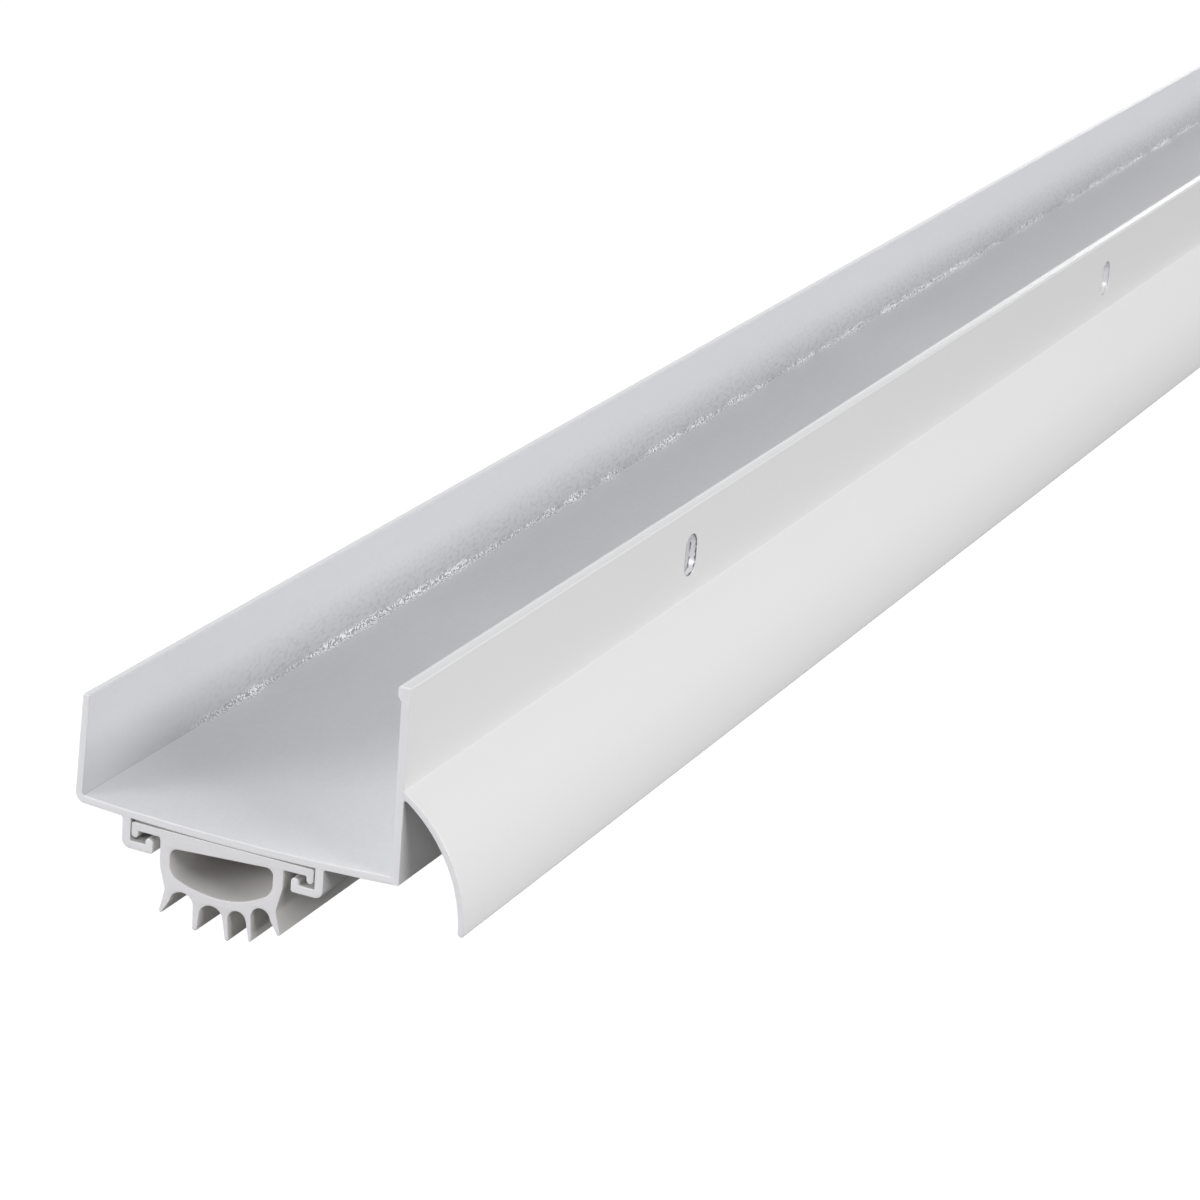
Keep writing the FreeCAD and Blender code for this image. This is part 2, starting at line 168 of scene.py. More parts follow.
class InsertSizes(bpy.types.PropertyGroup):
    """Sizes of the soft insert, and the set that it has taken in its tracks."""

    seal_gap: length("Gap above", 0.15, "Clearance between the insert and the floor above")
    side_gap: length("Gap beside", 0.2, "Clearance between the insert and the tracks' walls")
    lip_gap: length("Gap below", 0.6, "Clearance between the insert and the lips")
    barb_width: length("Barb width", 1.0, "Width of the turned-down edges")
    plate_round: length("Plate round", 0.35, "Rounding of the plate's corners")
    bulb_gap: length("Bulb gap", 1.15, "Clearance between the bulb and the lips")
    bulb_roof: length("Bulb roof", 1.75, "Wall of the bulb under the floor")
    bulb_wall: length("Bulb wall", 1.5, "Wall of the bulb's sides")
    bulb_floor: length("Bulb floor", 1.3, "Wall of the bulb above the fins")
    bulb_depth: length("Bulb depth", 8.85, "Depth of the bulb's round underside")
    bulb_round: length("Bulb round", 15.7, "Radius of the bulb's round underside")
    bulb_straight: length("Shoulder depth", 4.4, "Depth of the bulb's shoulders")
    shoulder_round: length("Shoulder round", 6.0, "Rounding of the bulb's shoulders")
    neck_drop: length("Neck drop", 1.2, "Necks below the bulb's round underside")
    neck_round: length("Neck round", 1.5, "Rounding of the necks")
    hollow_round: length("Hollow round", 1.1, "Rounding of the hollow's upper corners")
    hollow_foot: length("Hollow foot", 2.2, "Rounding of the hollow's lower corners")
    fin_count: IntProperty(
        name="Fins", description="Number of fins, always odd", default=5, min=3, max=11
    )
    fin_inset: length("Fin inset", 0.9, "Outermost fins in from the bulb's sides")
    fin_length: length("Fin length", 4.35, "Length of the fins below the bulb")
    fin_wall: length("Fin wall", 0.82, "Wall of a fin at its root")
    fin_tip: length("Fin tip", 0.55, "Wall of a fin at its tip")
    fin_splay: length("Fin splay", 0.9, "How far the outermost fins lean outward")
    gullet_round: length("Gullet round", 1.35, "Rise of the round between two fins")
    sawn_round: length("Cut edge round", 0.08, "Rounding of the cut ends' edges")
    bulb_lean: angle("Bulb lean", 3.8, "Set of the soft bulb: its short-flange side hangs lower")
    fin_sway: length("Fin sway", 1.2, "Set of the middle fins towards the drip cap, at the tips")
    root_sway: length("Root sway", 0.4, "Set of the middle fins at their roots")
    plate_lift: length("Plate lift", 0.1, "How far the plate's edges press up to the floor")
    wave: length("Wave", 0.12, "How far the fins wander along the seal")
    wave_run: length("Wave run", 170.0, "Length of one wander of the fins")
    station_run: length("Station run", 9.0, "Longest step between sections along the seal")


class PaintLook(bpy.types.PropertyGroup):
    """The channel's white paint, with the light and shade that is painted into it."""

    face: colour("Paint", (0.80, 0.80, 0.80), "Paint on the open faces")
    # Painted light: the pocket's floor is painted paler and a little bluer than the open faces, to
    # stand in for the light that falls there
    pocket: colour("Paint in the pocket", (0.93, 0.935, 0.96), "Paint on the pocket's floor")
    # Painted shade: a darker copy of the white paint, laid on the flanges' insides and on the short
    # flange's top where shade falls
    inner: colour(
        "Paint inside the flanges",
        (0.655, 0.658, 0.675),
        "Thinner paint inside the flanges and on their tops",
    )
    # Painted light: the sawn ends are painted paler and bluer than the open faces, to stand in for
    # the light that falls on them; they are also rougher
    sawn: colour("Paint on the sawn ends", (0.91, 0.905, 0.93), "Paint over the sawn ends")
    # Painted glints: the corner's beads of paint are painted this white, and glow with it
    glint_white: colour("Paint in the corners", (0.95, 0.95, 0.97), "Beads of paint in a corner")
    bare: colour("Bare metal", (0.64, 0.64, 0.66), "Metal where the punch has smoothed a slot")
    # Painted shade: the dark colour laid near both faces of each slot's wall, where shade falls at
    # its rims
    torn: colour("Torn metal", (0.16, 0.16, 0.18), "Metal where the punch has torn a slot")
    gloss: share("Roughness of the open faces", 0.22, "Roughness of the open faces")
    pocket_gloss: share("Roughness in the pocket", 0.4, "Roughness between the flanges")
    grain_run: length("Grain", 0.6, "Run of the paint's grain")
    grain_height: length("Grain height", 0.04, "Height of the paint's grain in the pocket")
    peel_run: length("Peel", 3.0, "Run of the soft ripple on the open faces")
    peel_height: length("Peel height", 0.006, "Height of that ripple")
    # Painted glints: how strongly the beads glow with their white, though no lamp lights them
    glint: share("Glint", 0.38, "How much the beads of paint catch the light")
    corner_run: length("Corner run", 1.15, "How far paint beads reach out of the corners")
    # Dust and painted fill light: near the short flange's corner the pocket is rough with paint dust
    # and painted paler as fill light; this run also sets the painted shade low on the flanges
    dust_and_fill_run: length("Dust run", 10.0, "How far rough paint dust reaches out of the corners")
    patch_run: length("Patches", 9.0, "Run of the stretches with more beads and with fewer")
    clear_run: length(
        "Clear run", 55.0, "How far in from the sawn ends the beads reach their full size"
    )


class VinylLook(bpy.types.PropertyGroup):
    """The insert's soft white vinyl, with its cut ends painted paler as light."""

    skin: colour("Vinyl", (0.785, 0.77, 0.755), "Skin of the vinyl")
    # Painted light: the cut ends are painted paler and bluer than the skin, to stand in for the
    # light on them
    cut: colour("Cut vinyl", (0.86, 0.85, 0.875), "Cut ends of the vinyl")
    gloss: share("Roughness", 0.48, "Roughness of the vinyl")
    glow: share("Glow", 0.12, "How much light passes through the vinyl's surface")
    streak_run: length("Streaks", 0.7, "Spacing of the fine lines along the vinyl")
    streak_height: length("Streak height", 0.012, "Height of those lines")


class StageLook(bpy.types.PropertyGroup):
    """Camera, floor and lights."""

    camera_place: FloatVectorProperty(
        name="Camera place",
        description="Place of the camera in the row frame",
        default=(0.237424, -0.882109, 0.213439),
        size=3,
        subtype="TRANSLATION",
        unit="LENGTH",
    )
    azimuth: angle("Azimuth", 23.9065, "Camera's turn round the seal, from straight on")
    elevation: angle("Elevation", 20.0974, "Camera's height over the horizon")
    roll: angle("Roll", 4.3718, "Camera's tilt, which lifts the far end")
    lens: FloatProperty(
        name="Lens", description="Focal length in millimetres", default=122.7, min=20, max=500
    )
    floor_drop: length("Floor drop", 420.0, "Floor below the seal, which is shown held up")
    floor_size: length("Floor size", 14000.0, "Width of the floor")
    sky: share("Sky", 0.53, "Light from both sides and above")
    ground: share("Ground", 0.02, "Light from below")
    floor_grey: share("Floor grey", 0.10, "How pale the floor is for the light that it throws back")
    side_power: power("Side light", 49.0, "Watts of the light on the drip cap's side")
    low_power: power("Low light", 11.0, "Watts of the lower light on that side")
    left_power: power("Left light", 20.0, "Watts of the light on the short flange's side")
    back_power: power("Back light", 12.0, "Watts of the low light beyond the far end")
    end_power: power("End light", 97.0, "Watts of the light on the near end")


class SealSettings(bpy.types.PropertyGroup):
    """Everything that a user may set."""

    channel: PointerProperty(type=ChannelSizes)
    insert: PointerProperty(type=InsertSizes)
    paint: PointerProperty(type=PaintLook)
    vinyl: PointerProperty(type=VinylLook)
    stage: PointerProperty(type=StageLook)


# Sections

# How far apart the points of a round side lie, and how far a rounding turns at one step
CHORD = 1.2 * MM
SMALL_CHORD = 0.25 * MM
TURN = math.radians(12)
# The most of a side that the rounding of one corner takes
MOST = 0.48
# The least part of its depth that an inset keeps at a sharp corner
LEAST = 0.5
# Where the point on the way round the drip cap is taken, as a part of its reach
ON_THE_WAY = 0.7
# How far the fins' wander turns across the seal, in radians a millimetre
WANDER_TURN = 0.6
# How far beyond the bulb's sides a point still moves with the bulb
BULB_EDGE = MM / 10
# How near a point counts as on a face, and how near two points are made one
TOUCHING = MM / 100
WELDED = MM / 1000


def circle(a, b, c):
    """The centre of the circle through three points."""
    d = 2 * (a.x * (b.y - c.y) + b.x * (c.y - a.y) + c.x * (a.y - b.y))
    x = (a.length_squared * (b.y - c.y) + b.length_squared * (c.y - a.y)
         + c.length_squared * (a.y - b.y)) / d
    y = (a.length_squared * (c.x - b.x) + b.length_squared * (a.x - c.x)
         + c.length_squared * (b.x - a.x)) / d
    return Vector((x, y))


class Section:
    """A closed outline across the seal: corners, sharp or rounded, and round sides."""

    def __init__(self):
        self.corners = []

    def to(self, x, z, radius=0.0):
        """A straight side to a corner."""
        self.corners.append((Vector((x, z)), radius))

    def round_to(self, via, x, z, radius=0.0):
        """A round side to a corner, through a point on the way."""
        a, b, c = self.corners[-1][0], Vector(via), Vector((x, z))
        centre = circle(a, b, c)
        start = a - centre
        whole = start.angle_signed(c - centre)
        part = start.angle_signed(b - centre)
        # angle_signed counts clockwise turns as positive, within half a turn each way
        if whole * part < 0 or abs(part) > abs(whole):
            whole -= math.copysign(2 * math.pi, whole)
        reach = start.length
        run = abs(whole) * reach
        chord = CHORD if reach > 4 * CHORD else SMALL_CHORD
        steps = max(2, math.ceil(run / chord))
        for step in range(1, steps):
            turn = Matrix.Rotation(-whole * step / steps, 2)
            self.corners.append((centre + turn @ start, 0.0))
        self.to(x, z, radius)

    def follow(self, level, start, end, radius=0.0):
        """A side along a level that is worked out for each place across."""
        steps = max(2, math.ceil(abs(end - start) / (2 * CHORD)))
        for step in range(1, steps):
            x = start + (end - start) * step / steps
            self.corners.append((Vector((x, level(x))), 0.0))
        self.to(end, level(end), radius)

    def points(self):
        """The outline as a loop of points, with its rounded corners made round."""
        loop = []
        for number, (corner, radius) in enumerate(self.corners):
            before = self.corners[number - 1][0] - corner
            after = self.corners[(number + 1) % len(self.corners)][0] - corner
            if radius == 0.0:
                loop.append(corner)
                continue
            opening = before.angle(after)
            reach = radius / math.tan(opening / 2)
            reach = min(reach, MOST * before.length, MOST * after.length)
            radius = reach * math.tan(opening / 2)
            back, ahead = before.normalized(), after.normalized()
            centre = corner + (back + ahead).normalized() * (radius / math.sin(opening / 2))
            first = corner + back * reach - centre
            turn = first.angle_signed(corner + ahead * reach - centre)
            steps = max(3, math.ceil(abs(turn) / TURN))
            for step in range(steps + 1):
                loop.append(centre + Matrix.Rotation(-turn * step / steps, 2) @ first)
        return loop


def inset(loop, depth):
    """A loop moved into its own solid by a depth, wherever it turns."""
    area = sum(a.x * b.y - b.x * a.y for a, b in zip(loop, loop[1:] + loop[:1]))
    side = math.copysign(1.0, area)
    moved = []
    for number, point in enumerate(loop):
        back = (point - loop[number - 1]).normalized()
        ahead = (loop[(number + 1) % len(loop)] - point).normalized()
        normals = Vector((-back.y, back.x)) + Vector((-ahead.y, ahead.x))
        normals.normalize()
        lean = max(LEAST, normals.dot(Vector((-ahead.y, ahead.x))))
        moved.append(point + normals * (side * depth / lean))
    return moved


def web_level(s, x, depth=0.0):
    """The height of the bowed floor at one place across, at a depth below its top."""
    half = s.door_gap / 2
    radius = (half**2 + s.web_bow**2) / (2 * s.web_bow)
    return radius - s.web_bow - math.sqrt((radius + depth) ** 2 - x**2)


def cap_level(s, x, depth=0.0):
    """The height of the drip cap at one place across, at a depth below its round face."""
    tip = s.door_gap / 2 + s.tall_wall + s.cap_reach
    rise = s.cap_root + s.cap_drop
    radius = (s.cap_reach**2 + rise**2) / (2 * s.cap_reach)
    return -s.cap_drop + math.sqrt((radius - depth) ** 2 - (x - tip + radius) ** 2)


def lip_level(s):
    """The height of the lips' upper faces."""
    return -s.web_bow - s.web_wall - s.track_depth


def channel_section(s):
    """The channel's outline, from the short flange's top round the floor, cap and tracks."""
    inner = s.door_gap / 2
    face = inner + s.tall_wall
    tip = face + s.cap_reach
    foot = -s.cap_drop
    along = face + ON_THE_WAY * s.cap_reach
    back = -inner - s.short_wall

    def under(x):
        return web_level(s, x, s.web_wall)

    outline = Section()
    outline.to(-inner + s.short_lean, s.short_height, s.edge_round / 2)
    outline.to(-inner, 0, s.root_round)
    outline.follow(lambda x: web_level(s, x), -inner, inner, s.root_round)
    outline.to(inner, s.tall_height - s.bead_height - s.bead_run)
    outline.to(inner - s.bead_depth, s.tall_height - s.bead_height, s.edge_round / 2)
    outline.to(inner - s.bead_depth, s.tall_height, s.edge_round)
    outline.to(face, s.tall_height, s.edge_round)
    outline.to(face, s.cap_root, s.root_round)
    outline.round_to((along, cap_level(s, along)), tip, foot)
    outline.round_to((tip - s.cap_wall / 2, foot - s.cap_wall / 2), tip - s.cap_wall, foot)
    along -= s.cap_wall
    outline.round_to(
        (along, cap_level(s, along, s.cap_wall)), face, cap_level(s, face, s.cap_wall), s.root_round
    )
    outline.to(face, under(face), s.edge_round / 2)
    track(outline, s, 1)
    track(outline, s, -1)
    outline.follow(under, -s.track_shift - s.track_width / 2 - s.track_wall, back + s.outer_round)
    base = under(back + s.outer_round)
    slack = s.outer_round * (1 - math.sqrt(0.5))
    outline.round_to((back + slack, base + slack), back, base + s.outer_round)
    outline.to(back + s.short_lean, s.short_height, s.edge_round / 2)
    return outline.points()


def track(outline, s, side):
    """One track on the outline, met from the drip cap's side."""
    middle = -s.track_shift
    wall = s.track_width / 2
    top = lip_level(s)
    base = top - s.lip_wall
    nose = s.lip_width / 2
    rise = top + s.lip_rise - nose
    end = wall - s.lip_reach

    def at(reach, z, radius=0.0):
        return middle + side * reach, z, radius

    def under(x):
        return web_level(s, x, s.web_wall)

    corners = [
        at(wall + s.track_wall, under(middle + side * (wall + s.track_wall)), s.root_round),
        at(wall + s.track_wall, base, s.track_round),
        at(end, base, s.edge_round),
        at(end, rise),
        at(end + 2 * nose, rise),
        at(end + 2 * nose, top),
        at(wall, top),
        at(wall, under(middle + side * wall)),
    ]
    if side < 0:
        corners.reverse()
    start = outline.corners[-1][0].x
    outline.follow(under, start, corners[0][0], corners[0][2])
    for before, (x, z, radius) in zip(corners, corners[1:]):
        if before[1] == z == rise:
            outline.round_to(((before[0] + x) / 2, rise + nose), x, z)
        else:
            outline.to(x, z, radius)


def insert_sections(c, s):
    """The insert's outline and its hollow, as they come from the die."""
    middle = -c.track_shift
    lips = lip_level(c)
    top = -c.web_bow - c.web_wall - s.seal_gap
    plate_base = lips + c.lip_rise + s.lip_gap
    plate_end = c.track_width / 2 - s.side_gap
    bulb = c.track_width / 2 - c.lip_reach - s.bulb_gap
    centre = top - s.bulb_depth + s.bulb_round
    half_count = s.fin_count // 2
    barb, tip, fin = s.barb_width / 2, s.fin_tip / 2, s.fin_wall / 2
    outermost = bulb - s.fin_inset
    pitch = (outermost - fin) / half_count
    barb_level = lips + s.lip_gap + barb

    def under(reach):
        return centre - math.sqrt(s.bulb_round**2 - reach**2)

    half = Section()
    half.to(plate_end, top, s.plate_round)
    half.to(plate_end, barb_level)
    half.round_to((plate_end - barb, barb_level - barb), plate_end - 2 * barb, barb_level)
    half.to(plate_end - 2 * barb, plate_base, s.plate_round)
    half.to(bulb, plate_base, s.plate_round)
    half.to(bulb, top - s.bulb_straight, s.shoulder_round)
    half.to(outermost, under(outermost) - s.neck_drop, s.neck_round)
    for number in range(half_count, 0, -1):
        end = number * pitch + s.fin_splay * (number / half_count) ** 2
        foot = under(number * pitch) - s.fin_length + tip
        gullet = (number - 0.5) * pitch
        spring = under(gullet) - s.gullet_round
        half.to(end + tip, foot)
        half.round_to((end, foot - tip), end - tip, foot)
        half.to(number * pitch - fin, spring)
        half.round_to((gullet, under(gullet)), (number - 1) * pitch + fin, spring)
    foot = under(0) - s.fin_length + tip
    half.to(tip, foot)
    outline = whole(half, (0, foot - tip), middle)

    side = bulb - s.bulb_wall
    corner = side - s.hollow_foot
    floor = s.bulb_round - s.bulb_floor
    fall = math.sqrt((floor - s.hollow_foot) ** 2 - corner**2)
    slack = s.hollow_foot * math.sqrt(0.5)
    reach = floor / (floor - s.hollow_foot)
    half = Section()
    half.to(side, top - s.bulb_roof, s.hollow_round)
    half.to(side, centre - fall)
    half.round_to((corner + slack, centre - fall - slack), corner * reach, centre - fall * reach)
    return outline, whole(half, (0, centre - floor), middle)


def whole(half, foot, middle):
    """A half outline and its mirror image, joined by a round side at the foot."""
    near = list(half.corners)
    x, z = near[-1][0]
    half.round_to(foot, -x, z)
    for corner, radius in reversed(near[:-1]):
        half.to(-corner.x, corner.y, radius)
    return [Vector((middle + point.x, point.y)) for point in half.points()]


def relax(point, along, c, s):
    """Where a point of the insert has come to rest: the bulb leans, and the fins sway."""
    middle = -c.track_shift
    across = point.x - middle
    bulb = c.track_width / 2 - c.lip_reach - s.bulb_gap
    plate = lip_level(c) + c.lip_rise + s.lip_gap
    roof = -c.web_bow - c.web_wall - s.seal_gap - s.bulb_roof
    tips = -c.web_bow - c.web_wall - s.seal_gap - s.bulb_depth - s.fin_length
    hangs = min(1.0, max(0.0, (plate - point.y) / (plate - roof)))
    deep = min(1.0, max(0.0, (roof - point.y) / (roof - tips)))
    inward = max(0.0, math.cos(min(1.0, abs(across) / bulb) * math.pi / 2)) ** 2
    sway = (s.root_sway * min(1.0, 2 * deep) + (s.fin_sway - s.root_sway) * deep**2) * inward
    turn = 2 * math.pi * along / s.wave_run + WANDER_TURN * across / MM
    wander = s.wave * deep**2 * math.sin(turn)
    on_bulb = abs(across) <= bulb + BULB_EDGE
    lean = across * math.tan(s.bulb_lean) * hangs if on_bulb else 0.0
    lift = s.plate_lift * (1 - hangs) * (2 * across / c.track_width) ** 2
    return Vector((point.x + sway + wander, point.y + lean + lift))


# Meshes

# Edges that turn more than this are shaded sharp
SHARP = math.radians(40)
# The turns, in degrees, at which a rounded rim has a ring of points
RIM_TURNS = (0, 30, 60, 90)
# Sides of a slot's half round
SLOT_STEPS = 12


def end_stations(half_length, rounding):
    """Where the sections lie round the edge of a cut end, and how far each is inset."""
    stations = []
    for turn in RIM_TURNS:
        fall = 1 - math.cos(math.radians(turn))
        depth = 1 - math.sin(math.radians(turn))
        stations.append((half_length - rounding * fall, rounding * depth))
    return stations


def fill(bm, loops):
    """Closes a flat face with an outer loop of vertices and perhaps holes."""
    corners = [vert for loop in loops for vert in loop]
    for triple in tessellate_polygon([[vert.co for vert in loop] for loop in loops]):
        bm.faces.new([corners[number] for number in triple])


def sweep(bm, loops_at, stations, left_open=None):
    """Runs sections along the seal and closes both ends; gives back the sides left open."""
    rings = []
    for y, depth in stations:
        ring = []
        for loop in loops_at(y, depth):
            ring.append([bm.verts.new((point.x, y, point.y)) for point in loop])
        rings.append(ring)
    opened = []
    for near, far in zip(rings, rings[1:]):
        for one, other in zip(near, far):
            for number in range(len(one)):
                quad = [one[number - 1], one[number], other[number], other[number - 1]]
                if left_open and left_open(quad):
                    opened.append(quad)
                else:
                    bm.faces.new(quad)
    fill(bm, rings[0])
    fill(bm, rings[-1])
    return opened


def slot_rims(s):
    """The rings of a slot through the tall flange: where each lies, and how far it is widened."""
    face = s.door_gap / 2 + s.tall_wall
    rims = []
    for turn in RIM_TURNS:
        fall = 1 - math.cos(math.radians(turn))
        widening = 1 - math.sin(math.radians(turn))
        rims.append((face - s.slot_round * fall, s.slot_round * widening))
    inside = [(s.door_gap + s.tall_wall - x, grow / 2) for x, grow in reversed(rims)]
    inside = [(s.door_gap / 2 + (x - s.door_gap / 2) / 2, grow) for x, grow in inside]
    return rims + inside


def slot_ring(bm, s, y, x, grow):
    """One ring of a slot: an upright oval."""
    half = s.slot_width / 2 + grow
    straight = (s.slot_height - s.slot_width) / 2
    ring = []
    for middle, start in ((s.slot_level + straight, 0), (s.slot_level - straight, math.pi)):
        for step in range(SLOT_STEPS + 1):
            turn = start + math.pi * step / SLOT_STEPS
            ring.append(bm.verts.new((x, y + half * math.cos(turn), middle + half * math.sin(turn))))
    return ring


def pierce(bm, s, opened):
    """Fills the two open sides of the tall flange round the slots, and lines the slots."""
    first = s.slot_inset - s.seal_length / 2
    pitch = (s.seal_length - 2 * s.slot_inset) / (s.slot_count - 1)
    outer_rings, inner_rings = [], []
    for number in range(s.slot_count):
        y = first + number * pitch
        rings = [slot_ring(bm, s, y, x, grow) for x, grow in slot_rims(s)]
        for near, far in zip(rings, rings[1:]):
            for step in range(len(near)):
                bm.faces.new([near[step - 1], near[step], far[step], far[step - 1]])
        outer_rings.append(rings[0])
        inner_rings.append(rings[-1])
    for quad in opened:
        outside = quad[0].co.x > s.door_gap / 2 + s.tall_wall / 2
        fill(bm, [quad] + (outer_rings if outside else inner_rings))


def make_object(name, bm, finish, node):
    """Makes a piece of the seal from its mesh, on the frame's body and for its CAD node."""
    bmesh.ops.remove_doubles(bm, verts=bm.verts, dist=WELDED)
    bmesh.ops.recalc_face_normals(bm, faces=bm.faces)
    for part in bm.faces:
        part.smooth = True
    for edge in bm.edges:
        edge.smooth = edge.calc_face_angle(math.pi) < SHARP
    mesh = bpy.data.meshes.new(name)
    bm.to_mesh(mesh)
    bm.free()
    mesh.materials.append(finish)
    piece = bpy.data.objects.new(name, mesh)
    bpy.context.collection.objects.link(piece)
    shading = piece.modifiers.new("Even shading", "WEIGHTED_NORMAL")
    shading.keep_sharp = True
    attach(piece, "root")
    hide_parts(node)


# Finishes

# Each mask rises smoothly from 0 at its first number to 1 at its second. These are for how
# squarely a face looks along an axis:
FACING_END = (0.6, 0.9)
FACING_UP = (0.5, 0.9)
FACING_SIDE = (0.1, 0.5)
FACING_FLANGE = (0.6, 0.95)
# These are for levels of noise:
PATCHY = (0.32, 0.6)
BEADED = (0.5, 0.58)
# The level below which the specks between the corner's beads are painted dark as shade
SPECK_SHADE = (0.38, 0.46)
DOTTED = (0.38, 0.5)
# These are for how deep in the tall flange's wall the painted shade on a slot's punched side gives
# way to bare metal, and where it comes back:
RIM_SHADE_FROM = (0.08, 0.25)
RIM_SHADE_UNTIL = (0.72, 0.9)
# How far such masks stay clear of a face or an edge
HAIR = 0.05 * MM
FILM = 0.1 * MM
# The part of the clear run, next to a sawn end, that has no beads at all
CLEAR_PART = 0.15
# How far beads reach between the patches, how much farther in them, and where they are full
REACH_LEAST = 0.5
REACH_MORE = 0.65
REACH_FULL = 0.3
# How many beads there are between the patches, and how many more in them
BEADS_LEAST = 0.3
BEADS_MORE = 0.7
# How far up the flanges' insides the painted shade stays full and where it has faded out, in runs of
# dust
LOW_SHADE_FADES = 0.3
LOW_SHADE_ENDS = 1.1
# The grain of the pocket and the lines of the vinyl are drawn out along the door
GRAIN_STRETCH = (1.0, 0.45, 1.0)
LINE_STRETCH = (1.0, 0.02, 1.0)
# How dark a colour is where it is shaded
PAINT_SHADE = 0.75
VINYL_SHADE = 0.94
# How much of one tint lies over another. The paler fill, the shade low on the flanges, the dots'
# shade and the shade on the short flange's top are painted light and shade
FILL_LIGHT_COVER = 0.5
LOW_SHADE_COVER = 0.2
GRAIN_COVER = 0.15
DOT_SHADE_COVER = 0.35
TOP_SHADE_COVER = 0.6
MOTTLE_COVER = 0.5
# How strong the painted shade at the slots' rims is on average, and how much stronger or fainter at
# the next slot
RIM_SHADE_MEAN = 0.6
RIM_SHADE_SWING = 0.4
# How ragged the edge of the painted shade at the rims is, as a part of the wall
RIM_SHADE_RAGGED = 0.8
# How much of the grain's height shows on open faces, and how much more in pocket and dust
OPEN_GRAIN = 0.05
POCKET_GRAIN = 0.55
DUST_GRAIN = 1.4
# How high a bead of paint stands
BEAD_HEIGHT = 0.07 * MM
# Differences in roughness, and how metallic the punched metal is
BEAD_SMOOTHER = 0.2
SAWN_ROUGHER = 0.12
PUNCHED_ROUGHER = 0.25
CUT_ROUGHER = 0.08
PUNCHED_METAL = 0.3
# Run of the vinyl's mottle, in runs of its lines, and how deep light goes into it
MOTTLE_RUN = 12
GLOW_DEPTH = 1.5 * MM
# The light of the floor and of the surround
WHITE = (1, 1, 1, 1)


class Value:
    """One output of a material's nodes, which takes part in plain arithmetic."""

    def __init__(self, finish, socket):
        self.finish = finish
        self.socket = socket

    def maths(self, operation, *numbers):
        """A Math node on these numbers or outputs."""
        inputs = dict(enumerate(numbers))
        return self.finish.node("ShaderNodeMath", {"operation": operation}, inputs)

    def __add__(self, other):
        return self.maths("ADD", self, other)

    def __radd__(self, other):
        return self.maths("ADD", other, self)

    def __sub__(self, other):
        return self.maths("SUBTRACT", self, other)

    def __rsub__(self, other):
        return self.maths("SUBTRACT", other, self)

    def __mul__(self, other):
        return self.maths("MULTIPLY", self, other)

    def __rmul__(self, other):
        return self.maths("MULTIPLY", other, self)

    def __truediv__(self, other):
        return self.maths("DIVIDE", self, other)

    def __pow__(self, other):
        return self.maths("POWER", self, other)

    def __abs__(self):
        return self.maths("ABSOLUTE", self)

    def cosine(self):
        """The cosine of an angle in radians."""
        return self.maths("COSINE", self)

    def above(self, low, high):
        """0 below one level, 1 above another, and a smooth rise between them."""
        return self.finish.node(
            "ShaderNodeMapRange",
            {"interpolation_type": "SMOOTHSTEP"},
            {"Value": self, "From Min": low, "From Max": high},
        )


class Finish:
    """A material or world made of nodes."""

    def __init__(self, owner):
        owner.use_nodes = True
        self.owner = owner
        self.tree = owner.node_tree
        self.tree.nodes.clear()

    def node(self, kind, settings, inputs, output=0):
        """Adds one node: its settings first, then its sockets' values or links."""
        made = self.tree.nodes.new(kind)
        for name, setting in settings.items():
            setattr(made, name, setting)
        for name, number in inputs.items():
            socket = made.inputs[name]
            if isinstance(number, Value):
                self.tree.links.new(number.socket, socket)
            else:
                socket.default_value = number
        return Value(self, made.outputs[output] if made.outputs else None)

    def split(self, place):
        """The three parts of a vector."""
        x = self.node("ShaderNodeSeparateXYZ", {}, {0: place})
        node = x.socket.node
        return x, Value(self, node.outputs[1]), Value(self, node.outputs[2])

    def stretch(self, place, factors):
        """A vector with its three parts multiplied by three factors."""
        inputs = {0: place, 1: factors}
        return self.node("ShaderNodeVectorMath", {"operation": "MULTIPLY"}, inputs)

    def rays(self, *kinds):
        """1 for rays of any of these kinds."""
        found = 0.0
        for kind in kinds:
            found = self.node("ShaderNodeLightPath", {}, {}, kind) + found
        return found

    def noise(self, place, run, detail=2.0):
        """Even noise from 0 to 1 with bumps of about one run."""
        inputs = {"Vector": place, "Scale": 1 / run, "Detail": detail}
        return self.node("ShaderNodeTexNoise", {}, inputs)

    def blend(self, mask, first, second):
        """The first colour where the mask is 0 and the second where it is 1."""
        colours = {6: first, 7: second}
        for number, tint in colours.items():
            if not isinstance(tint, Value):
                colours[number] = (*tint, 1.0)
        return self.node("ShaderNodeMix", {"data_type": "RGBA"}, {0: mask, **colours}, 2)

    def bump(self, height):
        """Normals that follow a height in metres."""
        return self.node("ShaderNodeBump", {}, {"Strength": 1.0, "Distance": 1.0, "Height": height})

    def surface(self, **inputs):
        """The finished surface."""
        sockets = {name.replace("_", " ").title(): value for name, value in inputs.items()}
        shader = self.node("ShaderNodeBsdfPrincipled", {}, sockets)
        self.node("ShaderNodeOutputMaterial", {}, {"Surface": shader})
        return self.owner


